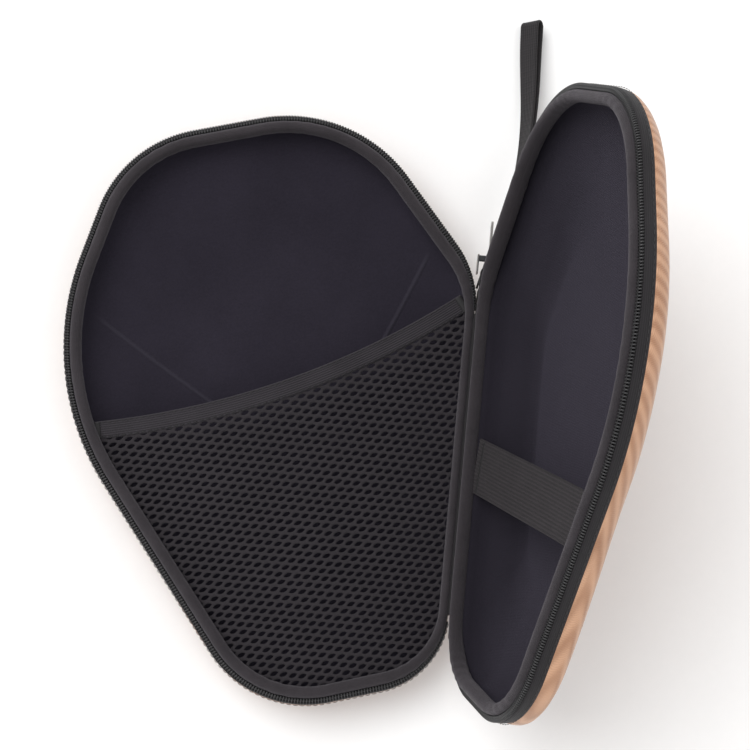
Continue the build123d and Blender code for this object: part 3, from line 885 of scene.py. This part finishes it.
def spine(name, radius, flap, node, thick):
    """A strip of cloth from one half's wall, over the hinge line and onto the other's."""
    c, s = math.cos(LIFT), math.sin(LIFT)
    # Up the pocket half's wall, round the hinge line, and along the tray half's wall
    section = [(-radius, -flap * (1 - k)) for k in np.linspace(0, 1, 12)[:-1]]
    for a in np.linspace(math.pi, LIFT, 17):
        section.append((radius * math.cos(a), radius * math.sin(a)))
    section += [(radius * c + s * flap * k, radius * s - c * flap * k) for k in np.linspace(0, 1, 12)[1:]]
    section = np.array(section)
    run = np.linspace(-HINGE_HALF, HINGE_HALF, 93)
    rows = []
    for x, z in section:
        ripple = 0.05 * np.sin(run / 3.1 + x) + 0.04 * np.sin(run / 7.7 + 2 * z)
        rows.append(np.stack([HINGE[0] + x + ripple, HINGE[1] + run, HINGE[2] + z + 0 * run], -1))
    piece = band(name, rows, run + HINGE_HALF, arc_length(section, False), SPINE)
    solid = piece.modifiers.new("cloth", "SOLIDIFY")
    solid.thickness = thick * MM
    solid.offset = 0.0
    bpy.context.view_layer.objects.active = piece
    bpy.ops.object.modifier_apply(modifier="cloth")
    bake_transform(piece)
    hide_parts(node)
    return piece


outer_spine = spine("spine_cloth_outer", 0.8, 13.0, "spine_strip", 0.62)
inner_spine = spine("spine_cloth_inner", 1.6, 2.1, "spine_lining", 0.45)


# ---------- tabs, hand loop ----------

def tab(name, corners, thickness, mat, node, body, slot, nx=24, ny=8):
    """A small doubled piece of cloth standing in the hinge plane: four corners as (u, z from the rim)."""
    a, b, c, d = [np.array(p, float) for p in corners]
    front, back = [], []
    for j in range(ny + 1):
        t = j / ny
        row_f, row_b = [], []
        for i in range(nx + 1):
            s = i / nx
            p = (a * (1 - s) + b * s) * (1 - t) + (d * (1 - s) + c * s) * t
            rim = min(1, min(s, 1 - s) * 8, min(t, 1 - t) * 4)  # 0 at the piece's edge, 1 away from it
            x = thickness / 2 * math.sqrt(max(0.0, 1 - (1 - rim) ** 2)) + 0.02
            x += 0.03 * math.sin(i * 1.7) * rim
            row_f.append([HINGE[0] + x, HINGE[1] + p[0], HINGE[2] + p[1]])
            row_b.append([HINGE[0] - x, HINGE[1] + p[0], HINGE[2] + p[1]])
        front.append(np.array(row_f))
        back.append(np.array(row_b))
    rows = front + back[::-1]
    width = np.linalg.norm(b - a)
    height = np.linalg.norm(d - a)
    v = list(np.linspace(0, height, ny + 1)) + list(np.linspace(height, 0, ny + 1)) + [0.0]
    piece = band(name, rows, np.linspace(0, width, nx + 1), v, mat, closed_v=True)
    close_ends(piece, len(rows), len(rows[0]))
    return settle(piece, body, slot, node)


tab("zip_end_cloth_upper", [(69.5, -0.9), (90, -2.2), (90, 2.2), (69.5, 0.9)], 0.8, SPINE,
    "zip_end_tab_upper", "pocket_half", "spine_cloth")
tab("zip_end_cloth_lower", [(-69.5, -0.9), (-80, -1.8), (-80, 1.8), (-69.5, 0.9)], 0.8, SPINE,
    "zip_end_tab_lower", "pocket_half", "spine_cloth")
tab("loop_root_webbing", [(58, -14), (83.1, -14), (83.1, -4), (58, -4)], 0.8, WEBBING,
    "hand_loop_tab", "pocket_half", "webbing")

LOOP_ROOT = np.array([HINGE[0], HINGE[1] + 84.0, HINGE[2] - 9.0])
LOOP_LENGTH = 131.0  # from its root to where the fold begins
# (distance from the root, sideways, upward, half the gap between the two runs, degrees turned from flat)
STATIONS = [
    (0.0, 0.0, 0.0, 0.65, 90.0), (14.0, 3.4, -1.0, 0.65, 88.0), (28.0, 8.0, -2.4, 0.65, 84.0),
    (42.0, 12.2, -3.9, 0.65, 78.0), (56.0, 15.2, -5.4, 0.66, 71.0), (72.0, 16.9, -7.1, 0.7, 63.0),
    (88.0, 17.3, -8.8, 0.9, 56.0), (104.0, 16.6, -10.4, 1.4, 47.0), (118.0, 15.7, -11.7, 1.9, 41.0),
    (LOOP_LENGTH, 15.4, -12.6, 2.2, 38.0),
]


def hand_loop():
    """One length of webbing, out from its root, round the fold and back, turning from on edge towards flat."""
    stations = np.array(STATIONS)
    outward = np.linspace(0, LOOP_LENGTH, 67)
    kernel = np.array([1, 2, 3, 2, 1]) / 9
    columns = []
    for k in range(1, 5):
        smooth = np.interp(outward, stations[:, 0], stations[:, k])
        for _ in range(6):
            before, after = 2 * smooth[0] - smooth[2:0:-1], 2 * smooth[-1] - smooth[-2:-4:-1]
            smooth = np.convolve(np.concatenate([before, smooth, after]), kernel, "valid")
        columns.append(smooth)
    side, rise, gap, turn = columns
    turn = np.radians(turn)
    centre = LOOP_ROOT + np.stack([side, outward, rise], -1)
    run = np.gradient(centre, axis=0)
    run /= np.linalg.norm(run, axis=1)[:, None]
    face = np.stack([-np.sin(turn), 0 * turn, np.cos(turn)], -1)
    face -= run * np.sum(face * run, axis=1)[:, None]
    face /= np.linalg.norm(face, axis=1)[:, None]
    places, thick, wide = [], [], []
    for k in range(len(centre)):
        places.append(centre[k] + face[k] * gap[k])
        thick.append(face[k])
        wide.append(np.cross(run[k], face[k]))
    for f in np.linspace(0, math.pi, 17)[1:-1]:
        spoke = face[-1] * math.cos(f) + run[-1] * math.sin(f)
        places.append(centre[-1] + spoke * gap[-1] + run[-1] * 0.5 * math.sin(f))
        thick.append(spoke)
        wide.append(np.cross(run[-1], face[-1]))
    for k in range(len(centre) - 1, -1, -1):
        places.append(centre[k] - face[k] * gap[k])
        thick.append(-face[k])
        wide.append(np.cross(run[k], face[k]))
    places, thick, wide = map(np.array, (places, thick, wide))
    along = arc_length(places, False)
    ribbing = 0.05 * np.sin(along * 2 * math.pi / WEBBING_RIB)
    shape = []  # of half the webbing's section: flat, with a thicker selvedge each side
    for x in np.linspace(-4.85, 4.85, 19):
        bulge = 0.42 + 0.10 * math.exp(-((abs(x) - 4.3) / 0.5) ** 2)
        shape.append((x, bulge if abs(x) < 4.8 else 0.3))
    rows, v = [], []
    for x, h in shape + [(x, -h) for x, h in shape[::-1]]:
        ribs = ribbing * (1 if h > 0 else -1) * (abs(x) < 4.7)
        rows.append(places + wide * x + thick * (h + ribs)[:, None])
        v.append(x + 5)
    v.append(v[0])
    piece = band("hand_loop_webbing", rows, along, v, WEBBING, closed_v=True)
    close_ends(piece, len(rows), len(rows[0]))
    return piece


settle(hand_loop(), "loop", "webbing", "hand_loop")

# ---------- metal ----------

for node in ("zip_slider", "zip_pull"):
    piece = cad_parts[node]
    piece.data.materials.clear()
    piece.data.materials.append(METAL)
    soften = piece.modifiers.new("soften", "BEVEL")
    soften.width = 0.15 * MM
    soften.segments = 2
    soften.limit_method = "ANGLE"


# ---------- floor, light, camera ----------

paper = speckled("floor_paper", rgb(0.86, 0.86, 0.86), rgb(0.9, 0.9, 0.9), 0.9, 300.0, 0.02)
FLOOR_HALF = 30000.0
FLOOR_Z = -0.05
FLOOR_CORNERS = ((-1, -1), (1, -1), (1, 1), (-1, 1))
floor = mesh("floor", [(x * FLOOR_HALF, y * FLOOR_HALF, FLOOR_Z) for x, y in FLOOR_CORNERS],
             [[0, 1, 2, 3]], paper, smooth=False)

world = bpy.data.worlds.new("studio")
world.use_nodes = True
world.node_tree.nodes["Background"].inputs[0].default_value = rgb(1.0, 1.0, 1.0)
world.node_tree.nodes["Background"].inputs[1].default_value = 0.74
bpy.context.scene.world = world


def sun(name, at, strength, softness):
    """A sun that shines from the side that at points to; softness is its width in degrees."""
    data = bpy.data.lights.new(name, "SUN")
    data.energy = strength
    data.angle = math.radians(softness)
    piece = bpy.data.objects.new(name, data)
    piece.rotation_euler = (-Vector(at)).to_track_quat("-Z", "Y").to_euler()
    bpy.context.scene.collection.objects.link(piece)


sun("key", (-0.8, 0.5, 1.6), 1.75, 44.0)
sun("fill", (0.6, -0.2, 1.2), 0.4, 60.0)

camera_data = bpy.data.cameras.new("camera")
camera_data.sensor_width = 36.0
camera_data.lens = 105.6
camera_data.clip_start = 0.01
camera = bpy.data.objects.new("camera", camera_data)
# Where the photo was taken from: the camera's right and its line of sight
right = Vector((0.9951, 0.0933, 0.0319)).normalized()
forward = Vector((0.0172, 0.1546, -0.9878)).normalized()
down = forward.cross(right).normalized()
right = down.cross(forward)
camera.matrix_world = Matrix([
    (right.x, -down.x, -forward.x, 0.0206),
    (right.y, -down.y, -forward.y, -0.1382),
    (right.z, -down.z, -forward.z, 1.0214),
    (0, 0, 0, 1),
])
bpy.context.scene.collection.objects.link(camera)
bpy.context.scene.camera = camera
bpy.context.scene.view_settings.view_transform = "Standard"
